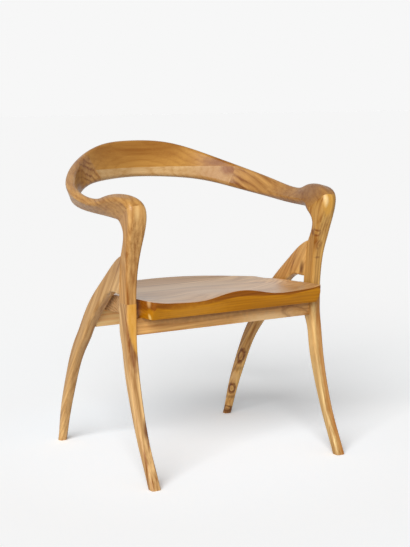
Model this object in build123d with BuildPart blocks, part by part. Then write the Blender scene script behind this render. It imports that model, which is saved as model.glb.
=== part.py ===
from build123d import *
from math import cos, hypot, pi, radians, sin, tan
import os

os.makedirs("parts", exist_ok=True)

# Open armchair in solid teak. Millimetres, +Z up, the sitter faces -Y.
# The origin is on the floor, midway between the sides and between front and rear.

# Side frames
side_x = 283            # middle plane of each side frame
frame_thickness = 30    # side frame across, at seat level
leg_top_z = 441         # joint between post and front leg
seam_z = 740            # glue seam between the two boards of the back

# Seat
seat_side_gap = 11      # open slot between the seat and each side frame
seat_front_y = -253
seat_rear_y = 183       # at the middle
seat_rear_radius = 322
seat_bottom_z = 405     # at the front lower edge
seat_fall = 2.5         # degrees, down towards the rear
front_bevel = 15
side_bevel = 7
bevel_height = 26
seat_front_corner = 12
seat_rear_corner = 30
front_board = 98
board_width = 86
board_names = ["front", "second", "middle", "fourth", "rear"]

# Rails
rail_thickness = 21
front_rail_y = -173
front_rail_bottom = 360
rear_rail_y = 31
rear_rail_bottom = 349
tenon_length = 14
tenon_thickness = 9
tenon_height = 26
tenon_rise = 7          # from the rail's lower edge to the tenon
rail_coping = 0.6       # left on each end of a rail, to be coped to the leg

# Dowels and screws
dowel_radius = 4
dowel_chamfer = 1
glue_gap = 0.1
butt_dowel_length = 56
butt_dowel_pitch = 34
mitre_dowel_length = 36
mitre_dowel_pitch = 36
mitre_dowel_drop = 8    # from the middle of the mitre to the middle of its dowels
post_dowel_length = 46
post_dowel_pitch = 18
post_dowel_setback = -4
head_dowel_length = 40
head_dowel_pitch = 46
screw_radius = 2.2
screw_length = 50
screw_head_radius = 4.5
screw_head_height = 3
screw_bite = 20         # length of thread in the seat
screw_bore_gap = 0.3
screw_x = 165           # outer screws, from the middle

# Back and arm ribbon, right-hand half, from the middle of the back to the leg joint:
# x, y, z, heading and fall of the run, thickness, width, outward lean, corner radius
ribbon = {
    "back middle": (0, 289, 764, 0, 0, 24, 103, 15, 9),
    "shoulder": (105, 271, 758, -15, 4, 24, 99, 20, 9),
    "quarter": (side_x - 75, 213, 732, -42, 14, 25, 72, 19, 9),
    "bend": (side_x - 14, 142, 706, -60, 19, 28, 62, 14, 10),
    "arm": (side_x + 22, 45, 683, -78, 11, 24, 51, 32, 9),
    "neck": (side_x + 20, -84, 672, -92, 2, 24, 49, 44, 9),
    "arm end": (side_x + 16, -135, 677, -95, -8, 32, 60, 27, 11),
    "knuckle": (side_x + 4, -205, 663, -90, 54, 48, 84, 8, 14),
    "under knuckle": (side_x + 3, -208, 607, -90, 102, 47, 33, 0, 10),
    "waist": (side_x + 3, -198, 577, -90, 106, 42, 35, 0, 10),
    "post": (side_x + 2, -186, 547, -90, 103, 36, 42, 0, 8),
    "low post": (side_x + 1, -176, 495, -90, 96, 31, 44, 0, 7),
    "leg top": (side_x, -173, leg_top_z, -90, 90, frame_thickness, 43, 0, 7),
    "below joint": (side_x, -173, leg_top_z - 50, -90, 90, frame_thickness, 43, 0, 7),
    "trimmed end": (side_x, -173, leg_top_z - 100, -90, 90, frame_thickness, 43, 0, 7),
}

# Front leg, right-hand side, straight at the rail and then down to the floor:
# z, front, rear, outward shift, width
front_leg_rows = [
    (385, -194.5, -151.5, 0, frame_thickness),
    (331, -199, -166, 1.5, 30),
    (283, -206.5, -175, 1.5, 29.5),
    (188, -229.5, -201.5, 1, 27.5),
    (96, -263, -238.5, 1, 26),
    (0, -311.5, -286.5, 0.5, 26),
]
front_leg_corner = 6.5
front_foot_slope = (-45, -96)   # run of the leg where it meets the floor, y and z

# Rear leg, right-hand side, sections square to its run from its head in the post:
# inward shift, y, z, fall, width low, width high, depth, corner radius low, high
rear_leg_run = {
    "head": (-1.5, -166, 513, -8, 31, 38, 98, 1.5, 8),
    "arch": (0, -123, 497.5, 5, 31, 32, 71, 6, 6),
    "crotch": (0, -67, 464, 30, 30, 30, 43, 8, 8),
    "upper": (0, -33, 435, 43, 30, 30, 42, 8, 8),
    "rail": (0, 12, 390, 49, 30, 30, 39, 8, 8),
    "thigh": (1.5, 62.5, 326, 52, 29, 29, 36, 8, 8),
    "knee": (3, 109.5, 267, 56.5, 28.5, 28.5, 32, 8, 8),
    "shin": (4.5, 143, 207, 63, 28, 28, 28, 8, 8),
    "calf": (6, 171, 146, 67, 27, 27, 26, 7.5, 7.5),
    "ankle": (7.5, 194.5, 88, 69, 25.5, 25.5, 23.5, 7.5, 7.5),
    "under floor": (11, 244.5, -30, 68, 25, 25, 23, 7, 7),
}
housing_floor_z = 466   # of the housing in the post, under the rear leg's head
housing_margin = 11     # housing beyond the head, above and below

# Joints across the ribbon: x, y, z, heading, fall, lean of the dowel row
butt_left = (-160, 242, 746, 30, -22, 18)
butt_right = (255, 163, 713, -56, 18, 18)

# Saddle of the seat, dished along two thigh hollows
dip_x = 130             # lowest line of each hollow, from the middle
dip_y = 80              # lowest place along that line
dip_z = 426
front_rise = 16         # of the hollows, towards the front edge
nose_rise = 17          # raised middle at the front edge
rear_rise = 8.6         # of the ring along the rear edge
ring_width = 103
rim_rise = 12           # outer edge above the hollow, at its highest
rim_peak_y = -110
rim_reach_front = 215   # from the peak to where the rim would die away
rim_reach_rear = 165
# Upright strip above the front bevel, from edge to edge: x, height
strip_rows = [(-270, 16), (0, 15), (130, 10), (270, 2)]
saddle_steps = 8        # grid of the saddle surface, front to rear and each way from the middle
saddle_error = 0.05

# Values that follow
inner_face_x = side_x - frame_thickness / 2
seat_half_width = inner_face_x - seat_side_gap
seat_lower_front_y = seat_front_y + front_bevel
rear_centre_y = seat_rear_y - seat_rear_radius
beyond = 500            # reaches past any piece
trim = 8                # surfaces reach this far past the seat they cut
standing = (Align.CENTER, Align.CENTER, Align.MIN)
hanging = (Align.CENTER, Align.CENTER, Align.MAX)


def run_direction(heading, fall):
    return Vector(
        cos(radians(fall)) * cos(radians(heading)),
        cos(radians(fall)) * sin(radians(heading)),
        -sin(radians(fall)),
    )


def across_plane(x, y, z, heading, fall, lean=0):
    """Plane square to the run: its x follows the thickness, its y the width."""
    outward = Vector(-sin(radians(heading)), cos(radians(heading)), 0)
    run = run_direction(heading, fall)
    upward = run.cross(outward)
    thick = outward * cos(radians(lean)) - upward * sin(radians(lean))
    return Plane(origin=(x, y, z), x_dir=thick, z_dir=run)


def rear_leg_plane(inward, y, z, fall):
    """Plane square to the run of the right-hand rear leg."""
    return Plane((side_x - inward, y, z), x_dir=(-1, 0, 0), z_dir=run_direction(90, fall))


def between(rows, at):
    """Straight-line value of the second column at a place in the first."""
    for (low, low_value), (high, high_value) in zip(rows, rows[1:]):
        if at <= high:
            return low_value + (high_value - low_value) * (at - low) / (high - low)
    return rows[-1][1]


def seat_underside(y):
    return seat_bottom_z - (y - seat_lower_front_y) * tan(radians(seat_fall))


def saddle_height(x, y):
    """Top of the seat: hollow, rising to the rear edge, the front and the side rims."""
    forward = max(0, dip_y - y) / (dip_y - seat_front_y)
    ring = max(0, hypot(x, y - rear_centre_y) - seat_rear_radius + ring_width) / ring_width
    hollow = dip_z + front_rise * forward**2 + rear_rise * ring**2
    if abs(x) < dip_x:
        return hollow + nose_rise * forward**1.6 * cos(pi / 2 * x / dip_x) ** 2
    reach = rim_reach_front if y < rim_peak_y else rim_reach_rear
    rim = rim_rise * max(0, cos(pi / 2 * min(1, abs(y - rim_peak_y) / reach)))
    return hollow + rim * ((abs(x) - dip_x) / (seat_half_width - dip_x)) ** 1.5


def other_side(part):
    """The same part on the left-hand side."""
    with BuildPart() as twin:
        mirror(part, about=Plane.YZ)
    return twin.part


def finish(part, name):
    part.label = name
    export_step(part, f"parts/{name}.step")


# Joint planes
butt_left_plane = across_plane(*butt_left)
butt_right_plane = across_plane(*butt_right)
mitre_plane = across_plane(*ribbon["knuckle"][:5])
seam_plane = Plane.XY.offset(seam_z)
leg_top_plane = Plane((side_x, ribbon["leg top"][1] + post_dowel_setback, leg_top_z))
head_plane = rear_leg_plane(*rear_leg_run["head"][:4])


# Dowels: a pair in every joint, and the holes they are glued into
def dowel_pair(plane, pitch, length, shift=0, oversize=0):
    """Two dowels square to a joint plane, half their length in each piece."""
    with BuildPart(plane) as pair:
        with Locations((0, shift - pitch / 2, 0), (0, shift + pitch / 2, 0)):
            Cylinder(dowel_radius + oversize, length + 2 * oversize)
        if not oversize:
            ends = pair.edges().filter_by(GeomType.CIRCLE)
            chamfer(ends, dowel_chamfer)
    return pair.part


def butt_dowels(oversize=0):
    return [
        dowel_pair(plane, butt_dowel_pitch, butt_dowel_length, 0, oversize)
        for plane in (butt_left_plane, butt_right_plane)
    ]


def both_sides(right_part):
    return [right_part, other_side(right_part)]


def mitre_dowels(oversize=0):
    pair = dowel_pair(mitre_plane, mitre_dowel_pitch, mitre_dowel_length, -mitre_dowel_drop, oversize)
    return both_sides(pair)


def post_dowels(oversize=0):
    return both_sides(dowel_pair(leg_top_plane, post_dowel_pitch, post_dowel_length, 0, oversize))


def head_dowels(oversize=0):
    return both_sides(dowel_pair(head_plane, head_dowel_pitch, head_dowel_length, 0, oversize))


def drill(holes):
    for hole in holes:
        add(hole, mode=Mode.SUBTRACT)


for dowels, name in (
    (butt_dowels, "arm_butt_dowels"),
    (mitre_dowels, "mitre_dowels"),
    (post_dowels, "post_foot_dowels"),
    (head_dowels, "rear_leg_dowels"),
):
    with BuildPart() as dowel_group:
        add(dowels())
    finish(dowel_group.part, name)


# Ribbon: one continuous run from the left leg joint, round the back, to the right one
right_run = list(ribbon.values())
left_run = [
    (-x, y, z, -heading, -fall, *section) for x, y, z, heading, fall, *section in right_run[:0:-1]
]
with BuildPart() as ribbon_blank:
    for x, y, z, heading, fall, thickness, width, lean, corner in left_run + right_run:
        with BuildSketch(across_plane(x, y, z, heading, fall, lean)):
            RectangleRounded(thickness, width, corner)
    loft()

# Back: two boards, one glued on top of the other
with BuildPart() as back_blank:
    add(ribbon_blank.part)
    split(bisect_by=butt_left_plane, keep=Keep.TOP)
    split(bisect_by=butt_right_plane, keep=Keep.BOTTOM)
    drill(butt_dowels(glue_gap))

with BuildPart() as back_rail_upper:
    add(back_blank.part)
    split(bisect_by=seam_plane, keep=Keep.TOP)
finish(back_rail_upper.part, "back_rail_upper")

with BuildPart() as back_rail_lower:
    add(back_blank.part)
    split(bisect_by=seam_plane, keep=Keep.BOTTOM)
finish(back_rail_lower.part, "back_rail_lower")

# Arms: from the butt joint to the mitre in the knuckle
with BuildPart() as arm_left:
    add(ribbon_blank.part)
    split(bisect_by=Plane.YZ, keep=Keep.BOTTOM)
    split(bisect_by=butt_left_plane, keep=Keep.BOTTOM)
    split(bisect_by=mitre_plane, keep=Keep.BOTTOM)
    drill(butt_dowels(glue_gap) + mitre_dowels(glue_gap))
finish(arm_left.part, "arm_left")

with BuildPart() as arm_right:
    add(ribbon_blank.part)
    split(bisect_by=Plane.YZ, keep=Keep.TOP)
    split(bisect_by=butt_right_plane, keep=Keep.TOP)
    split(bisect_by=mitre_plane, keep=Keep.BOTTOM)
    drill(butt_dowels(glue_gap) + mitre_dowels(glue_gap))
finish(arm_right.part, "arm_right")

# Rear leg: springs out of the back of the post and sweeps down to the floor
with BuildPart() as rear_leg_blank:
    for *place, width_low, width_high, depth, corner_low, corner_high in rear_leg_run.values():
        with BuildSketch(rear_leg_plane(*place)) as section:
            with BuildLine():
                Polyline(
                    (-width_low / 2, -depth / 2),
                    (width_low / 2, -depth / 2),
                    (width_high / 2, depth / 2),
                    (-width_high / 2, depth / 2),
                    close=True,
                )
            make_face()
            fillet(section.vertices().group_by(Axis.Y)[0], corner_low)
            fillet(section.vertices().group_by(Axis.Y)[-1], corner_high)
    loft()
    split(bisect_by=Plane.XY, keep=Keep.TOP)

# Post: from the mitre to the front leg, housed at the rear for the head of the rear leg
head_depth = rear_leg_run["head"][6]
with BuildPart(head_plane) as head_housing:
    Box(2 * frame_thickness, head_depth + 2 * housing_margin, beyond, align=standing)
    split(bisect_by=Plane.XY.offset(housing_floor_z), keep=Keep.TOP)

with BuildPart() as post_right:
    add(ribbon_blank.part)
    split(bisect_by=Plane.YZ, keep=Keep.TOP)
    split(bisect_by=mitre_plane, keep=Keep.TOP)
    split(bisect_by=leg_top_plane, keep=Keep.TOP)
    add(head_housing.part, mode=Mode.SUBTRACT)
    drill(mitre_dowels(glue_gap) + head_dowels(glue_gap) + post_dowels(glue_gap))
finish(post_right.part, "post_right")
finish(other_side(post_right.part), "post_left")


# Front leg: straight at the rail, then curving forward and thinning to the floor
def leg_line(places, foot_direction):
    """One long edge of the leg, from its head to its foot."""
    head = (places[0][0], leg_top_z)
    upper = Line(head, places[0])
    lower = Spline(*places, tangents=[(0, -1), foot_direction])
    return upper @ 0, lower @ 1


with BuildPart() as front_leg_blank:
    heights, fronts, rears, shifts, widths = zip(*front_leg_rows)
    outers = [side_x + shift + width / 2 for shift, width in zip(shifts, widths)]
    inners = [side_x + shift - width / 2 for shift, width in zip(shifts, widths)]
    with BuildSketch(Plane.YZ.offset(side_x)):
        with BuildLine():
            front_head, front_foot = leg_line(list(zip(fronts, heights)), front_foot_slope)
            rear_head, rear_foot = leg_line(list(zip(rears, heights)), front_foot_slope)
            Line(front_head, rear_head)
            Line(front_foot, rear_foot)
        make_face()
    extrude(amount=frame_thickness, both=True)
    with BuildSketch(Plane.XZ):
        with BuildLine():
            outer_head, outer_foot = leg_line(list(zip(outers, heights)), (0, -1))
            inner_head, inner_foot = leg_line(list(zip(inners, heights)), (0, -1))
            Line(outer_head, inner_head)
            Line(outer_foot, inner_foot)
        make_face()
    extrude(amount=beyond, both=True, mode=Mode.INTERSECT)
    level_edges = front_leg_blank.edges().filter_by(lambda edge: edge.bounding_box().size.Z < 1)
    fillet(front_leg_blank.edges() - level_edges, front_leg_corner)


# Rails: stub-tenoned into the legs, their tops planed to the fall of the seat
def rail_tenon(rail_y, bottom, gap=0):
    """Stub tenon at the right-hand end, or its mortise with a gap all round."""
    with BuildPart() as tenon:
        with BuildSketch(Plane.YZ.offset(inner_face_x - tenon_length)):
            with Locations((rail_y, bottom + tenon_rise + tenon_height / 2)):
                Rectangle(tenon_thickness + 2 * gap, tenon_height + 2 * gap)
        extrude(amount=2 * tenon_length + gap)
    return tenon.part


def screw_places(*rails):
    """Where the screw heads are drawn against the rails, three to a rail."""
    return [
        (x, rail_y, seat_underside(rail_y) + screw_bite - screw_length)
        for rail_y in rails
        for x in (-screw_x, 0, screw_x)
    ]


def rail(rail_y, bottom, leg):
    """Rail between two legs, counterbored from below for the seat screws."""
    front, rear = rail_y - rail_thickness / 2, rail_y + rail_thickness / 2
    with BuildPart() as part:
        with BuildSketch(Plane.YZ):
            with BuildLine():
                Polyline(
                    (front, bottom),
                    (rear, bottom),
                    (rear, seat_underside(rear)),
                    (front, seat_underside(front)),
                    close=True,
                )
            make_face()
        extrude(amount=inner_face_x + rail_coping, both=True)
        for side_leg in both_sides(leg):
            add(side_leg, mode=Mode.SUBTRACT)
        add(both_sides(rail_tenon(rail_y, bottom)))
        with Locations(*screw_places(rail_y)):
            Cylinder(screw_radius + screw_bore_gap, beyond, mode=Mode.SUBTRACT)
            Cylinder(screw_head_radius + screw_bore_gap, beyond, align=hanging, mode=Mode.SUBTRACT)
    return part.part


finish(rail(front_rail_y, front_rail_bottom, front_leg_blank.part), "front_rail")
finish(rail(rear_rail_y, rear_rail_bottom, rear_leg_blank.part), "rear_rail")

# Legs: the lofted shapes with their mortises and dowel holes
with BuildPart() as front_leg_right:
    add(front_leg_blank.part)
    add(rail_tenon(front_rail_y, front_rail_bottom, glue_gap), mode=Mode.SUBTRACT)
    drill(post_dowels(glue_gap))
finish(front_leg_right.part, "front_leg_right")
finish(other_side(front_leg_right.part), "front_leg_left")

with BuildPart() as rear_leg_right:
    add(rear_leg_blank.part)
    add(post_right.part, mode=Mode.SUBTRACT)
    add(rail_tenon(rear_rail_y, rear_rail_bottom, glue_gap), mode=Mode.SUBTRACT)
    drill(head_dowels(glue_gap))
finish(rear_leg_right.part, "rear_leg_right")
finish(other_side(rear_leg_right.part), "rear_leg_left")

# Seat: a slab cut to its outline, dished above and bevelled below
with BuildPart() as seat_blank:
    corner_y = rear_centre_y + (seat_rear_radius**2 - seat_half_width**2) ** 0.5
    with BuildSketch(Plane.XY.offset(front_rail_bottom)) as outline:
        with BuildLine():
            rear_arc = ThreePointArc(
                (-seat_half_width, corner_y),
                (0, seat_rear_y),
                (seat_half_width, corner_y),
            )
            Polyline(
                rear_arc @ 1,
                (seat_half_width, seat_front_y),
                (-seat_half_width, seat_front_y),
                rear_arc @ 0,
            )
        make_face()
        fillet(outline.vertices().group_by(Axis.Y)[0], seat_front_corner)
        fillet(outline.vertices().group_by(Axis.Y)[-1], seat_rear_corner)
    extrude(amount=beyond)
    # Saddle
    column_step = (seat_half_width + trim) / saddle_steps
    line_step = (seat_rear_y - seat_front_y + 2 * trim) / saddle_steps
    columns = [column_step * count for count in range(-saddle_steps, saddle_steps + 1)]
    lines = [seat_front_y - trim + line_step * count for count in range(saddle_steps + 1)]
    saddle = Face.make_surface_from_array_of_points(
        [[(x, y, saddle_height(x, y)) for y in lines] for x in columns],
        tol=saddle_error,
        min_deg=3,
        max_deg=5,
    )
    split(bisect_by=saddle, keep=Keep.BOTTOM)
    # Underside and the bevels along its front and sides
    under_plane = Plane(
        (0, seat_lower_front_y, seat_bottom_z), x_dir=(-1, 0, 0), z_dir=run_direction(90, seat_fall)
    )
    with BuildSketch(under_plane):
        with BuildLine():
            Polyline(
                (seat_half_width - side_bevel, 0),
                (seat_half_width, bevel_height),
                (seat_half_width, beyond),
                (-seat_half_width, beyond),
                (-seat_half_width, bevel_height),
                (side_bevel - seat_half_width, 0),
                close=True,
            )
        make_face()
    extrude(amount=beyond, both=True, mode=Mode.INTERSECT)
    bevel_columns = columns[::2]
    rises = [
        saddle_height(x, seat_front_y) - between(strip_rows, x) - seat_bottom_z
        for x in bevel_columns
    ]
    bevel_low = Spline(
        *[
            (x, seat_lower_front_y + front_bevel, seat_bottom_z - rise)
            for x, rise in zip(bevel_columns, rises)
        ],
        mode=Mode.PRIVATE,
    )
    bevel_high = Spline(
        *[
            (x, seat_front_y - front_bevel, seat_bottom_z + 2 * rise)
            for x, rise in zip(bevel_columns, rises)
        ],
        mode=Mode.PRIVATE,
    )
    bevel = Face.make_surface_from_curves(bevel_low.edge(), bevel_high.edge())
    split(bisect_by=bevel, keep=Keep.BOTTOM)

# Seat screws, three up through each rail
with BuildPart() as seat_screws:
    with Locations(*screw_places(front_rail_y, rear_rail_y)):
        Cylinder(screw_radius, screw_length, align=standing)
        Cylinder(screw_head_radius, screw_head_height, align=hanging)
finish(seat_screws.part, "seat_screws")

with BuildPart() as screw_pilots:
    with Locations(*screw_places(front_rail_y, rear_rail_y)):
        Cylinder(screw_radius + glue_gap, screw_length + glue_gap, align=standing)

board_fronts = [seat_front_y - trim] + [
    seat_front_y + front_board + board_width * count for count in range(len(board_names) - 1)
]
board_rears = board_fronts[1:] + [seat_rear_y + trim]
for name, front, rear in zip(board_names, board_fronts, board_rears):
    with BuildPart() as seat_board:
        add(seat_blank.part)
        add(screw_pilots.part, mode=Mode.SUBTRACT)
        split(bisect_by=Plane.XZ.offset(-front), keep=Keep.BOTTOM)
        split(bisect_by=Plane.XZ.offset(-rear), keep=Keep.TOP)
    finish(seat_board.part, f"seat_board_{name}")
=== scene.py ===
from math import radians

import bpy
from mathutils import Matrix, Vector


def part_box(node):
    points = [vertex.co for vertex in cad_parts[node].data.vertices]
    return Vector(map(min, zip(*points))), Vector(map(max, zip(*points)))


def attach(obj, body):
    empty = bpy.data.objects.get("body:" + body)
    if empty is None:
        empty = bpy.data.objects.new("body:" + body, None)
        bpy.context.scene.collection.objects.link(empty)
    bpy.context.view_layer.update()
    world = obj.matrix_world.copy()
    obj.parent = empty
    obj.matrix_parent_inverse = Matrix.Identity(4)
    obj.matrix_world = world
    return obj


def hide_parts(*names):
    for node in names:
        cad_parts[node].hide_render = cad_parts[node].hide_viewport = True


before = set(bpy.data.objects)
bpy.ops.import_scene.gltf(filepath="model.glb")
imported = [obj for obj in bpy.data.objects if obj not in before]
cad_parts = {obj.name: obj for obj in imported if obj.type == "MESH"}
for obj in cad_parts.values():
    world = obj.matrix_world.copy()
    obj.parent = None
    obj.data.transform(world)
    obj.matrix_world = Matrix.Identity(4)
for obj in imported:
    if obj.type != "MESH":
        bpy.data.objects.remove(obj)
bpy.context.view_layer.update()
print("frame loaded:", len(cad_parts), "nodes")

# Camera: out in front of the left corner, above the arms and looking a little down
cameraSet = {
    "place": (-1.8123, -2.9151, 0.9825),
    "azimuth": -32.61,
    "tilt": 8.485,
    "lens": 85.13,
    "sensor": 36,
    "nearest": 0.05,
    "furthest": 100,
}

bpy.ops.object.select_all(action="DESELECT")
bpy.ops.object.camera_add(
    location=cameraSet["place"],
    rotation=(radians(90 - cameraSet["tilt"]), 0, radians(cameraSet["azimuth"])),
)
camera = bpy.context.object
camera.name = "studioCamera"
camera.data.lens = cameraSet["lens"]
camera.data.sensor_width = cameraSet["sensor"]
camera.data.clip_start = cameraSet["nearest"]
camera.data.clip_end = cameraSet["furthest"]
bpy.context.scene.camera = camera
bpy.context.scene.view_settings.view_transform = "Standard"
print("camera placed")


def colour(red, green, blue):  # screen values 0-255 to the linear ones a shader takes
    def straight(value):
        share = value / 255
        return share / 12.92 if share <= 0.04045 else ((share + 0.055) / 1.055) ** 2.4

    return (straight(red), straight(green), straight(blue), 1)


class Channel:  # a number that varies over the surface, so that sums read as sums
    def __init__(self, shader, socket):
        self.shader = shader
        self.socket = socket

    def maths(self, operation, first, second):
        settings = {"operation": operation}
        return self.shader.number("Math", settings, {0: first, 1: second})

    def __add__(self, other):
        return self.maths("ADD", self, other)

    def __radd__(self, other):
        return self.maths("ADD", other, self)

    def __sub__(self, other):
        return self.maths("SUBTRACT", self, other)

    def __rsub__(self, other):
        return self.maths("SUBTRACT", other, self)

    def __mul__(self, other):
        return self.maths("MULTIPLY", self, other)

    def __rmul__(self, other):
        return self.maths("MULTIPLY", other, self)


class Shader:
    def __init__(self, tree):
        self.tree = tree
        self.tree.nodes.clear()

    def node(self, kind, settings=None, inputs=None):  # settings first, then sockets
        made = self.tree.nodes.new("ShaderNode" + kind)
        for name, value in (settings or {}).items():
            if name == "stops":
                while len(made.color_ramp.elements) < len(value):
                    made.color_ramp.elements.new(1)
                for element, (position, shade) in zip(made.color_ramp.elements, value):
                    element.position = position
                    element.color = (shade, shade, shade, 1)
            else:
                setattr(made, name, value)
        for place, value in (inputs or {}).items():
            value = value.socket if isinstance(value, Channel) else value
            if isinstance(value, bpy.types.NodeSocket):
                self.tree.links.new(value, made.inputs[place])
            else:
                made.inputs[place].default_value = value
        return made

    def number(self, kind, settings=None, inputs=None, output=0):
        return Channel(self, self.node(kind, settings, inputs).outputs[output])

    def objectPlace(self):
        return self.node("TexCoord").outputs["Object"]

    def mapped(self, place, inputs, kind="TEXTURE"):  # a place as its pattern sees it
        settings = {"vector_type": kind}
        return self.node("Mapping", settings, {"Vector": place, **inputs}).outputs[0]

    def vector(self, operation, first, second):
        settings = {"operation": operation}
        return self.node("VectorMath", settings, {0: first, 1: second}).outputs[0]

    def distance(self, first, second):
        settings = {"operation": "DISTANCE"}
        return self.number("VectorMath", settings, {0: first, 1: second}, "Value")

    def blend(self, factor, first, second):
        settings = {"data_type": "RGBA"}
        inputs = {0: factor, 6: first, 7: second}
        return self.node("Mix", settings, inputs).outputs[2]

    def noise(self, place, scale, detail=2.0, roughness=0.5):
        inputs = {
            "Vector": place,
            "Scale": scale,
            "Detail": detail,
            "Roughness": roughness,
        }
        return self.number("TexNoise", {}, inputs)

    def ramp(self, value, stops):
        return self.number("ValToRGB", {"stops": stops}, {"Fac": value})

    def step(self, value, low, high):  # 0 below low, 1 above high, smooth between
        settings = {"interpolation_type": "SMOOTHSTEP", "clamp": True}
        inputs = {0: value, 1: low, 2: high, 3: 0, 4: 1}
        return self.number("MapRange", settings, inputs)

    def ray(self, kind):  # 1 for rays of this kind and 0 for the others
        return Channel(self, self.node("LightPath").outputs[kind])

    def show(self, surface, output="OutputMaterial"):
        self.node(output, {}, {"Surface": surface.outputs[0]})


def newMaterial(name):
    material = bpy.data.materials.new(name)
    material.use_nodes = True
    return material, Shader(material.node_tree)


def cover(piece, material):
    piece.data.materials.clear()
    piece.data.materials.append(material)


# Studio: pale floor, white surroundings and a soft key light from the camera's left
studio = {
    "floorSize": 60,
    "floorGrey": (0.836, 0.845, 0.85, 1),
    "floorSeen": (1.248, 1.248, 1.247, 1),  # where the camera looks at the floor itself
    "floorNear": (1.222, 1.238, 1.249, 1),  # the same round the chair, and under it,
    "floorUnder": (1.25, 1.32, 1.38, 1),  # against the warm glow of the wood
    "nearReach": (0.5, 2.5),
    "underReach": (0.15, 0.75),
    "white": colour(247, 247, 247),
    "roomLight": 0.28,
    "roomMirrored": 0.75,
    "keyPlace": (-2, -3, 2),
    "keyStrength": 3.0,
    "keyAngle": 44,
    "keyTurn": -48,
    "keyHeight": 30,
}

world = bpy.context.scene.world or bpy.data.worlds.new("studio")
bpy.context.scene.world = world
world.use_nodes = True
room = Shader(world.node_tree)
skySeen = room.ray("Is Camera Ray")
skyMirrored = room.ray("Is Glossy Ray")
level = (
    studio["roomLight"]
    + skySeen * (1 - studio["roomLight"])
    + skyMirrored * (studio["roomMirrored"] - studio["roomLight"])
)
backdrop = room.node("Background", {}, {"Color": studio["white"], "Strength": level})
room.show(backdrop, "OutputWorld")

bpy.ops.mesh.primitive_plane_add(size=studio["floorSize"], location=(0, 0, 0))
floor = bpy.context.object
floor.name = "floor"
floorPaint, paint = newMaterial("floorPaint")
away = paint.distance(paint.objectPlace(), (0, 0, 0))
nearer = paint.step(away, *studio["underReach"])
further = paint.step(away, *studio["nearReach"])
ground = paint.blend(nearer, studio["floorUnder"], studio["floorNear"])
ground = paint.blend(further, ground, studio["floorSeen"])
grey = paint.blend(paint.ray("Is Camera Ray"), studio["floorGrey"], ground)
paint.show(paint.node("BsdfDiffuse", {}, {"Color": grey}))
cover(floor, floorPaint)

bpy.ops.object.light_add(
    type="SUN",
    location=studio["keyPlace"],
    rotation=(radians(90 - studio["keyHeight"]), 0, radians(studio["keyTurn"])),
)
key = bpy.context.object
key.name = "keyLight"
key.data.energy = studio["keyStrength"]
key.data.angle = radians(studio["keyAngle"])
print("studio built")

# Teak: every board adds its own dark and pale to these
teakLook = {
    "grain": (0, 0),  # heading and climb of the board, degrees
    "pith": (0, 0, 0),  # a point on the middle of the trunk, metres
    "ringsPerMetre": 110,
    "ring": 0.28,  # shares of the figure in the tone
    "streak": 0.9,
    "fibre": 0.4,
    "patch": 0.8,
    "roughness": 0.38,
    "ior": 1.28,
    "coat": 0.3,
    "polish": 0,  # added to the coat where the wood faces up
    "coatRoughness": 0.22,
    "marks": [],  # knots, stains, strips of other wood, and painted highlights and shades
    "edges": [],  # low, high, dark, pale: the look of faces whose normal rises less, painted light and shade by facing
}
growth = {  # alike in every board, each noise as scale per metre, detail, roughness
    "drawn": (0.13, 1, 1),  # patterns are drawn out along the grain
    "fibreDrawn": (0.02, 1, 1),
    "swayNoise": (8, 2),
    "sway": (0, 0.05, 0.05),  # how far the trunk strays from its line, metres
    "swellNoise": (40, 3),
    "swell": 1.2,  # how far the rings swell, in rings
    "ringStops": [  # tone from one ring to the next
        (0, 0.1),
        (0.14, 0.75),
        (0.35, 1),
        (0.68, 0.7),
        (0.92, 0.15),
        (1, 0.1),
    ],
    "ringMiddle": 0.6,
    "boldNoise": (22, 2),  # where the rings show boldly
    "boldZone": (0.3, 0.7),
    "boldLeast": 0.35,
    "boldMore": 1.3,
    "streakNoise": (110, 3, 0.6),
    "fibreNoise": (600, 2, 0.6),
    "patchNoise": (12, 3, 0.6),
    "raggedNoise": (75, 3),  # the outline of a mark
    "brokenNoise": (120, 2),
    "brokenZone": (0.56, 0.4),
    "dryShare": 0.1,  # the dark wood is this much rougher than the pale
    "upward": (0.6, 0.95),  # normals that count as facing up
    "ringRelief": 0.25,
    "fibreRelief": 0.5,
    "bump": 0.12,
    "bumpDepth": 0.0006,
}
markLook = {
    "turn": (0, 0, 0),
    "profile": [(0, 1), (0.35, 0.9), (1, 0)],  # strength from the middle outwards
    "shade": colour(104, 52, 18),
    "share": 0.5,
    "figure": 0,  # added to the share of the rings
    "rings": 0,  # rings that bend round it
    "rough": 0.6,
    "broken": 0,  # share of it that the fibres break up
}
knotEye = {  # the stub of a twig, a dark edge round a paler middle
    "profile": [(0, 0.6), (0.16, 0.4), (0.38, 0.15), (0.56, 1), (0.78, 0.75), (1, 0)],
    "shade": colour(100, 36, 2),
    "share": 1,
    "rings": 1.2,
    "rough": 0.4,
    "broken": 0.25,
}


def markMask(wood, place, mark):
    turn = tuple(radians(angle) for angle in mark["turn"])
    inputs = {"Location": mark["at"], "Rotation": turn, "Scale": mark["reach"]}
    near = wood.mapped(place, inputs)
    ragged = (wood.noise(place, *growth["raggedNoise"]) - 0.5) * mark["rough"]
    away = wood.distance(near, (0, 0, 0)) + ragged  # 0 in its middle, 1 at its reach
    mask = wood.ramp(away, mark["profile"])
    if mark["broken"]:
        fibres = wood.noise(place, *growth["brokenNoise"])
        worn = wood.step(fibres, *growth["brokenZone"]) * mark["broken"]
        mask = mask * (1 - worn)
    return mask, away


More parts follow.
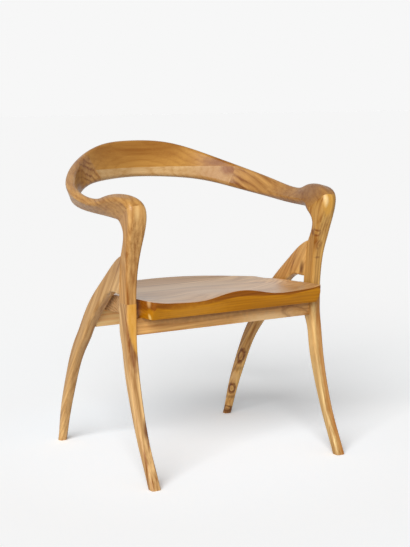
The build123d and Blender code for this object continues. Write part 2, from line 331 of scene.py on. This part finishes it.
def teak(name, look):
    values = {**teakLook, **look}
    material, wood = newMaterial(name)
    place = wood.objectPlace()
    heading, climb = values["grain"]
    turn = (0, -radians(climb), radians(heading))
    board = wood.mapped(place, {"Location": values["pith"], "Rotation": turn})

    marksAndPaintedLight = []
    pushed = 0
    figured = values["ring"]
    for mark in values["marks"]:
        mark = {**markLook, **mark}
        mask, away = markMask(wood, place, mark)
        marksAndPaintedLight.append((mask * mark["share"], mark["shade"]))
        if mark["rings"]:
            pushed = pushed + (1 - wood.step(away, 0, 1)) * mark["rings"]
        if mark["figure"]:
            figured = figured + mask * mark["figure"]

    # the trunk sways, and its rings swell slowly along the board
    drawn = wood.vector("MULTIPLY", board, growth["drawn"])
    scale, detail = growth["swayNoise"]
    inputs = {"Vector": drawn, "Scale": scale, "Detail": detail}
    swirl = wood.node("TexNoise", {}, inputs).outputs["Color"]
    swirl = wood.vector("SUBTRACT", swirl, (0.5, 0.5, 0.5))
    sway = wood.vector("MULTIPLY", swirl, growth["sway"])
    across = wood.vector("MULTIPLY", wood.vector("ADD", board, sway), (0, 1, 1))
    radius = wood.distance(across, (0, 0, 0))
    swell = wood.noise(drawn, *growth["swellNoise"]) * growth["swell"]
    phase = radius * values["ringsPerMetre"] + swell + pushed
    turned = wood.number("Math", {"operation": "FRACT"}, {0: phase})
    ring = wood.ramp(turned, growth["ringStops"])
    bold = wood.step(wood.noise(drawn, *growth["boldNoise"]), *growth["boldZone"])
    figured = figured * (growth["boldLeast"] + bold * growth["boldMore"])

    # fibres, coarse and fine, and the slow change of colour, all about 0.5
    run = wood.vector("MULTIPLY", board, growth["fibreDrawn"])
    streak = wood.noise(run, *growth["streakNoise"])
    fibre = wood.noise(run, *growth["fibreNoise"])
    patch = wood.noise(drawn, *growth["patchNoise"])
    tone = (
        0.5
        + (ring - growth["ringMiddle"]) * figured
        + (streak - 0.5) * values["streak"]
        + (fibre - 0.5) * values["fibre"]
        + (patch - 0.5) * values["patch"]
    )
    tone = wood.number("Clamp", {}, {0: tone, 1: 0, 2: 1})
    shade = wood.blend(tone, values["dark"], values["pale"])
    normal = wood.node("NewGeometry").outputs["Normal"]
    up = wood.number("SeparateXYZ", {}, {0: normal}, "Z")
    # faces whose normal rises less take other colours, painted light and shade by
    # facing
    for low, high, dark, pale in values["edges"]:
        other = wood.blend(tone, dark, pale)
        shade = wood.blend(1 - wood.step(up, low, high), shade, other)
    # the marks laid over the wood: knots and stains, and also painted highlights and
    # shades
    for mask, markTone in marksAndPaintedLight:
        shade = wood.blend(mask, shade, markTone)

    relief = ring * growth["ringRelief"] + fibre * growth["fibreRelief"]
    inputs = {
        "Strength": growth["bump"],
        "Distance": growth["bumpDepth"],
        "Height": relief,
    }
    bump = wood.node("Bump", {}, inputs)
    polished = wood.step(up, *growth["upward"]) * values["polish"]
    inputs = {
        "Base Color": shade,
        "Roughness": values["roughness"] + (0.5 - tone) * growth["dryShare"],
        "IOR": values["ior"],
        "Coat Weight": values["coat"] + polished,
        "Coat Roughness": values["coatRoughness"],
        "Normal": bump.outputs[0],
    }
    wood.show(wood.node("BsdfPrincipled", {}, inputs))
    return material


# Soft edges, on copies of the solids: the outline of the seat, the long edges of the
# rails and the edges round the feet
easing = {
    "width": 0.002,
    "segments": 3,
    "merge": 0.00001,
    "flat": 0.1,  # degrees: faces that turn less are one face
    "sharp": 32,  # an edge that turns more may be eased
    "smooth": 35,
    "glueGap": 0.0002,  # an edge this near a glued joint stays crisp
    "railEdge": 0.3,  # the least length of an edge that is eased on a rail
    "footHeight": 0.002,  # edges of the feet lie below this
}
eased = {}  # the copies, by the node that each stands for


def ease(nodeName, pieceName, chosen):
    bpy.ops.object.select_all(action="DESELECT")
    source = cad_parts[nodeName]
    source.select_set(True)
    bpy.context.view_layer.objects.active = source
    bpy.ops.object.duplicate()
    piece = bpy.context.object
    piece.name = pieceName
    bpy.ops.mesh.customdata_custom_splitnormals_clear()
    bpy.ops.object.mode_set(mode="EDIT")
    bpy.ops.mesh.select_mode(type="EDGE")
    bpy.ops.mesh.select_all(action="SELECT")
    bpy.ops.mesh.remove_doubles(threshold=easing["merge"])
    bpy.ops.mesh.dissolve_limited(angle_limit=radians(easing["flat"]))
    bpy.ops.mesh.select_all(action="DESELECT")
    bpy.ops.mesh.edges_select_sharp(sharpness=radians(easing["sharp"]))
    bpy.ops.object.mode_set(mode="OBJECT")
    mesh = piece.data
    for face in mesh.polygons:
        face.select = False
    for edge in mesh.edges:
        start, end = (mesh.vertices[index].co for index in edge.vertices)
        edge.select = edge.select and chosen(start, end)
    kept = sum(edge.select for edge in mesh.edges)
    bpy.ops.object.mode_set(mode="EDIT")
    bpy.ops.mesh.bevel(
        offset=easing["width"],
        segments=easing["segments"],
        affect="EDGES",
        clamp_overlap=True,
    )
    bpy.ops.object.mode_set(mode="OBJECT")
    bpy.ops.object.shade_smooth_by_angle(angle=radians(easing["smooth"]))
    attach(piece, "root")
    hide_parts(nodeName)
    eased[nodeName] = piece
    print(pieceName, "eased along", kept, "edges,", len(mesh.polygons), "faces")


def clearOf(glued):  # edges that lie in none of the glued joints, given by their y
    def chosen(start, end):
        return not any(
            max(abs(start[1] - joint), abs(end[1] - joint)) < easing["glueGap"]
            for joint in glued
        )

    return chosen


def longRun(start, end):
    return (end - start).length > easing["railEdge"]


def onFloor(start, end):
    return max(start[2], end[2]) < easing["footHeight"]


seatCopies = {
    "seat_board_front": "seatFrontBoard",
    "seat_board_second": "seatSecondBoard",
    "seat_board_middle": "seatMiddleBoard",
    "seat_board_fourth": "seatFourthBoard",
    "seat_board_rear": "seatRearBoard",
}
for nodeName, pieceName in seatCopies.items():
    low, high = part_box(nodeName)
    glued = [low[1], high[1]]
    if nodeName == "seat_board_front":
        glued = glued[1:]
    if nodeName == "seat_board_rear":
        glued = glued[:1]
    ease(nodeName, pieceName, clearOf(glued))

railCopies = {"front_rail": "frontRailEased", "rear_rail": "rearRailEased"}
for nodeName, pieceName in railCopies.items():
    ease(nodeName, pieceName, longRun)

legCopies = {
    "front_leg_left": "frontLegLeft",
    "front_leg_right": "frontLegRight",
    "rear_leg_left": "rearLegLeft",
    "rear_leg_right": "rearLegRight",
}
for nodeName, pieceName in legCopies.items():
    ease(nodeName, pieceName, onFloor)


def dress(stage, looks, shared=None):
    for nodeName, look in looks.items():
        piece = eased.get(nodeName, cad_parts[nodeName])
        cover(piece, teak("teak_" + nodeName, {**(shared or {}), **look}))
    print(stage, "dressed")


# Back: two boards with the grain from side to side, the lower one paler
backLook = {
    "back_rail_upper": {
        "pith": (-0.05, 0.2, 0.84),
        "patch": 1.1,
        "coat": 0.1,
        "dark": colour(126, 66, 0),
        "pale": colour(203, 150, 72),
        "ring": 0.14,
        "streak": 0.45,
        "fibre": 0.25,
        "marks": [
            {  # grain turned by a knot near the joint
                "at": (0.216, 0.192, 0.752),
                "reach": (0.05, 0.05, 0.02),
                "shade": colour(110, 50, 0),
                "share": 0.6,
                "rings": 1.5,
                "rough": 0.7,
            },
        ],
    },
    "back_rail_lower": {
        "pith": (0.1, 0.42, 0.66),
        "streak": 0.6,
        "coat": 0.1,
        "dark": colour(157, 104, 27),
        "pale": colour(232, 199, 147),
        "ring": 0.14,
        "marks": [
            {  # darker towards the joint
                "at": (0.215, 0.19, 0.71),
                "reach": (0.14, 0.1, 0.07),
                "shade": colour(150, 94, 24),
                "share": 0.65,
            },
            {  # the same knot
                "at": (0.238, 0.163, 0.733),
                "reach": (0.026, 0.05, 0.024),
                "shade": colour(116, 50, 0),
                "share": 0.75,
                "rings": 1.5,
                "rough": 0.5,
            },
        ],
    },
}
dress("back", backLook)

# Arms: one board each, the bend cut across its grain
armLook = {
    "arm_left": {
        "grain": (68, 9),
        "pith": (-0.25, 0.22, 0.65),
        "streak": 1.0,
        "patch": 1.0,
        "fibre": 0.35,
        "dark": colour(128, 70, 10),
        "pale": colour(218, 165, 90),
        "ringsPerMetre": 85,
        "ring": 0.18,
        "marks": [
            {
                "at": (-0.18, 0.225, 0.745),
                "reach": (0.08, 0.07, 0.07),
                "share": 0.15,
                "figure": 0.28,
            },
            {"at": (-0.25, 0.15, 0.71), "reach": (0.04, 0.05, 0.04), "share": 0.35},
        ],
    },
    "arm_right": {
        "grain": (102, 27),
        "pith": (0.27, 0.1, 0.5),
        "streak": 1.0,
        "patch": 1.0,
        "fibre": 0.35,
        "dark": colour(117, 63, 5),
        "pale": colour(199, 149, 82),
        "ringsPerMetre": 44,
        "ring": 0.12,
        "marks": [
            {
                "at": (0.265, 0.11, 0.71),
                "reach": (0.06, 0.12, 0.07),
                "share": 0.05,
                "figure": 0.5,
            },
            {"at": (0.28, -0.16, 0.69), "reach": (0.06, 0.1, 0.06), "share": 0.45},
        ],
    },
}
dress("arms", armLook)

# Posts: boards on end, with painted highlights and shade at the knuckles and a row of
# knots
postLook = {
    "post_left": {
        "grain": (90, 87),
        "pith": (-0.2, -0.25, 0.5),
        "streak": 1.5,
        "patch": 0.9,
        "fibre": 0.35,
        "dark": colour(144, 85, 20),
        "pale": colour(236, 185, 113),
        "marks": [
            {  # painted highlight on the knuckle
                "at": (-0.294, -0.242, 0.672),
                "reach": (0.008, 0.02, 0.03),
                "rough": 0.2,
                "shade": colour(246, 202, 134),
                "share": 0.6,
            },
        ],
    },
    "post_right": {
        "grain": (90, 96),
        "pith": (0.2, -0.27, 0.5),
        "streak": 1.4,
        "patch": 0.9,
        "fibre": 0.35,
        "dark": colour(139, 81, 13),
        "pale": colour(226, 177, 96),
        "marks": [
            {  # golden patch on the knuckle, painted light on its front face
                "at": (0.284, -0.242, 0.662),
                "reach": (0.019, 0.03, 0.042),
                "profile": [(0, 1), (0.65, 0.9), (0.82, 0.35), (1, 0)],
                "rough": 0.2,
                "shade": colour(226, 166, 66),
                "share": 0.8,
            },
            {  # painted highlight inside it
                "at": (0.275, -0.243, 0.672),
                "reach": (0.009, 0.02, 0.022),
                "rough": 0.2,
                "shade": colour(252, 220, 160),
                "share": 0.75,
            },
            {  # painted shade beside it, on the side turned from the light
                "at": (0.304, -0.235, 0.655),
                "reach": (0.011, 0.03, 0.05),
                "rough": 0.2,
                "shade": colour(140, 98, 26),
                "share": 0.55,
            },
            {
                **knotEye,
                "at": (0.268, -0.21, 0.585),
                "reach": (0.013, 0.02, 0.012),
                "share": 0.6,
            },
            {
                **knotEye,
                "at": (0.277, -0.207, 0.552),
                "reach": (0.013, 0.02, 0.016),
                "share": 0.35,
            },
            {"at": (0.279, -0.2, 0.517), "reach": (0.012, 0.02, 0.004), "share": 0.5},
        ],
    },
}
dress("posts", postLook)

# Front legs: boards on end too, the left one with a wedge of painted light at its top,
# the right one with painted light and shade down its sides
frontLegLook = {
    "front_leg_left": {
        "grain": (90, 74),
        "pith": (-0.2, -0.3, 0.2),
        "streak": 1.7,
        "patch": 1.2,
        "fibre": 0.5,
        "coat": 0.14,
        "dark": colour(144, 89, 31),
        "pale": colour(254, 211, 146),
        "marks": [
            {  # dark line round the wedge of painted light, the skin of a great ball
                "at": (-0.088, -0.326, 0.419),
                "reach": (0.26, 0.26, 0.26),
                "profile": [(0, 0), (0.93, 0), (0.963, 1), (0.985, 0)],
                "rough": 0.02,
                "shade": colour(120, 56, 18),
                "share": 0.45,
            },
            {  # the wedge itself, painted light
                "at": (-0.088, -0.326, 0.419),
                "reach": (0.25, 0.25, 0.25),
                "profile": [(0, 1), (0.975, 1), (1, 0)],
                "rough": 0.02,
                "shade": colour(232, 170, 66),
                "share": 0.75,
            },
            {  # dark streak
                "at": (-0.287, -0.2, 0.31),
                "reach": (0.007, 0.014, 0.06),
                "turn": (-8, -8, 0),
                "shade": colour(116, 52, 18),
                "share": 0.7,
            },
            {  # long stain low on the leg
                "at": (-0.275, -0.248, 0.134),
                "reach": (0.012, 0.017, 0.04),
                "turn": (-17, 0, 0),
                "shade": colour(96, 38, 10),
                "share": 0.9,
                "rough": 0.3,
            },
            {  # its tail
                "at": (-0.278, -0.262, 0.1),
                "reach": (0.004, 0.014, 0.022),
                "turn": (-18, 8, 0),
                "shade": colour(128, 66, 26),
                "share": 0.7,
                "rough": 0.3,
            },
        ],
    },
    "front_leg_right": {
        "grain": (90, 74),
        "pith": (0.2, -0.3, 0.2),
        "streak": 1.7,
        "ring": 0.26,
        "patch": 1.2,
        "fibre": 0.5,
        "coat": 0.14,
        "dark": colour(147, 92, 27),
        "pale": colour(248, 217, 150),
        "marks": [
            {  # painted light where the leg lies in shade
                "at": (0.27, -0.2, 0.33),
                "reach": (0.016, 0.05, 0.11),
                "shade": colour(238, 192, 122),
                "share": 0.6,
            },
            {  # painted shade down the outer side
                "at": (0.306, -0.25, 0.16),
                "reach": (0.03, 2, 2),
                "profile": [(0, 1), (0.7, 0.95), (1, 0)],
                "shade": colour(176, 110, 44),
                "share": 0.75,
                "rough": 0.25,
            },
        ],
    },
}
dress("front legs", frontLegLook)

# Rear legs: the long sweep is cut from one wide board
rearLegLook = {
    "rear_leg_left": {
        "grain": (90, -54),
        "pith": (-0.2, 0.03, 0.2),
        "streak": 1.3,
        "patch": 1.2,
        "fibre": 0.5,
        "ring": 0.22,
        "dark": colour(141, 87, 26),
        "pale": colour(227, 182, 119),
    },
    "rear_leg_right": {
        "grain": (90, -54),
        "pith": (0.2, 0.03, 0.2),
        "streak": 1.4,
        "patch": 1.2,
        "fibre": 0.5,
        "ring": 0.22,
        "dark": colour(147, 85, 20),
        "pale": colour(250, 201, 121),
        "marks": [
            {
                **knotEye,
                "at": (0.264, 0.138, 0.188),
                "reach": (0.019, 0.016, 0.032),
                "turn": (28, 0, 0),
            },
            {
                **knotEye,
                "at": (0.264, 0.185, 0.082),
                "reach": (0.017, 0.016, 0.022),
                "turn": (20, 0, 0),
            },
            {"at": (0.262, 0.156, 0.147), "reach": (0.03, 0.02, 0.01), "share": 0.4},
            {  # paler between the knots
                "at": (0.264, 0.17, 0.118),
                "reach": (0.02, 0.02, 0.022),
                "shade": colour(234, 190, 130),
                "share": 0.6,
            },
            {
                **knotEye,
                "at": (0.266, 0.211, 0.017),
                "reach": (0.018, 0.016, 0.013),
                "share": 0.9,
            },
            {"at": (0.262, 0.196, 0.055), "reach": (0.03, 0.02, 0.008), "share": 0.5},
            {"at": (0.27, 0.212, 0.006), "reach": (0.03, 0.03, 0.018), "share": 0.85},
            {  # dark knot in the head
                "at": (0.262, -0.147, 0.482),
                "reach": (0.02, 0.012, 0.028),
                "turn": (8, 0, 0),
                "shade": colour(84, 38, 10),
                "share": 0.85,
                "rough": 0.4,
            },
            {  # its grain bends round
                "at": (0.27, -0.105, 0.484),
                "reach": (0.02, 0.005, 0.045),
                "turn": (28, 0, 0),
                "shade": colour(120, 62, 20),
                "share": 0.65,
                "rough": 0.5,
                "rings": 1.0,
            },
        ],
    },
}
dress("rear legs", rearLegLook)

# Rails: straight boards, the front one with painted shade along its top, under the seat
railLook = {
    "front_rail": {
        "pith": (0, -0.1, 0.5),
        "streak": 1.2,
        "patch": 2.2,
        "fibre": 0.7,
        "dark": colour(160, 92, 22),
        "pale": colour(243, 190, 115),
        "marks": [
            {  # pale patch
                "at": (0.13, -0.182, 0.36),
                "reach": (0.13, 0.04, 0.03),
                "shade": colour(250, 214, 160),
                "share": 0.75,
            },
            {  # painted shade along the top, under the seat
                "at": (0, -0.182, 0.41),
                "reach": (0.5, 0.06, 0.035),
                "shade": colour(96, 54, 14),
                "share": 0.7,
            },
            {  # a ring that comes out on the face
                "at": (0.225, -0.182, 0.37),
                "reach": (0.06, 0.04, 0.022),
                "profile": [(0, 0), (0.5, 0.1), (0.72, 1), (0.9, 0.2), (1, 0)],
                "turn": (0, 14, 0),
                "shade": colour(140, 84, 36),
                "share": 0.5,
                "rings": 1.5,
            },
        ],
    },
    "rear_rail": {
        "pith": (0, 0.1, 0.2),
        "dark": colour(213, 129, 55),
        "pale": colour(246, 225, 160),
    },
}
dress("rails", railLook)

# Seat: five boards side by side, sawn flat so that the dish cuts wide figure
boardLook = {
    "ring": 0.3,
    "roughness": 0.36,
    "ior": 1.2,
    "coat": 0.05,
    "polish": 0.9,
    "coatRoughness": 0.34,
}
seatLook = {
    "seat_board_front": {
        "pith": (0, -0.2, 0.3),
        "dark": colour(148, 96, 48),
        "pale": colour(236, 190, 132),
        "edges": [
            (0.3, 0.6, colour(112, 56, 4), colour(160, 94, 20)),  # upright strip, painted shade on the faces that stand upright
            (-0.26, -0.1, colour(158, 94, 0), colour(212, 142, 20)),  # bevel, painted light from the floor on the faces turned down
        ],
        "marks": [
            {  # painted highlight on the rounded front corner
                "at": (-0.256, -0.231, 0.447),
                "reach": (0.013, 0.013, 0.015),
                "shade": colour(236, 190, 130),
                "share": 0.65,
                "rough": 0.3,
            },
            {  # brighter part of the bevel
                "at": (-0.14, -0.245, 0.42),
                "reach": (0.13, 0.04, 0.026),
                "shade": colour(232, 160, 40),
                "share": 0.5,
            },
            {  # end of the bevel, painted light where it turns round the corner
                "at": (-0.25, -0.236, 0.418),
                "reach": (0.02, 0.02, 0.02),
                "profile": [(0, 1), (0.7, 0.9), (1, 0)],
                "shade": colour(192, 126, 12),
                "share": 0.9,
                "rough": 0.2,
            },
            {  # painted highlight along its lower edge
                "at": (-0.252, -0.226, 0.41),
                "reach": (0.005, 0.009, 0.014),
                "shade": colour(250, 212, 130),
                "share": 0.8,
                "rough": 0.3,
            },
            {  # painted shade on the side of the board
                "at": (-0.268, -0.17, 0.43),
                "reach": (0.012, 0.05, 0.05),
                "profile": [(0, 1), (0.8, 0.9), (1, 0)],
                "shade": colour(150, 96, 36),
                "share": 0.6,
                "rough": 0.3,
            },
        ],
    },
    "seat_board_second": {
        "pith": (0, -0.13, 0.55),
        "dark": colour(152, 102, 56),
        "pale": colour(240, 198, 146),
    },
    "seat_board_middle": {
        "pith": (0, -0.02, 0.31),
        "dark": colour(154, 104, 56),
        "pale": colour(244, 200, 144),
    },
    "seat_board_fourth": {
        "pith": (0, 0.05, 0.56),
        "dark": colour(146, 98, 54),
        "pale": colour(234, 194, 142),
    },
    "seat_board_rear": {
        "pith": (0, 0.13, 0.31),
        "dark": colour(134, 84, 34),
        "pale": colour(216, 170, 108),
    },
}
dress("seat", seatLook, boardLook)

# Dowels of paler wood, out of sight inside the joints
dowelLook = {"dark": colour(196, 154, 104), "pale": colour(228, 192, 144)}
dowels = ("arm_butt_dowels", "mitre_dowels", "post_foot_dowels", "rear_leg_dowels")
dress("dowels", dict.fromkeys(dowels, dowelLook))

# Screws of plain steel under the seat, dulled here and there
screwLook = {
    "bright": colour(206, 207, 208),
    "dull": colour(138, 136, 132),
    "roughness": 0.28,
    "worn": 0.25,  # added to the roughness where the steel is stained
    "turning": (1, 1, 6),  # the marks of turning run round the shank
    "stainNoise": (260, 3),
    "stainZone": (0.4, 0.7),
    "grooveNoise": (1500, 2),
    "bump": 0.1,
    "bumpDepth": 0.0001,
}


def steel(name, values):
    material, metal = newMaterial(name)
    turned = metal.mapped(metal.objectPlace(), {"Scale": values["turning"]}, "POINT")
    markTone = metal.noise(turned, *values["stainNoise"])
    stained = metal.step(markTone, *values["stainZone"])
    inputs = {
        "Strength": values["bump"],
        "Distance": values["bumpDepth"],
        "Height": metal.noise(turned, *values["grooveNoise"]),
    }
    bump = metal.node("Bump", {}, inputs)
    inputs = {
        "Base Color": metal.blend(stained, values["bright"], values["dull"]),
        "Metallic": 1,
        "Roughness": values["roughness"] + markTone * values["worn"],
        "Normal": bump.outputs[0],
    }
    metal.show(metal.node("BsdfPrincipled", {}, inputs))
    return material


cover(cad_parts["seat_screws"], steel("steel_screws", screwLook))
print("screws dressed")
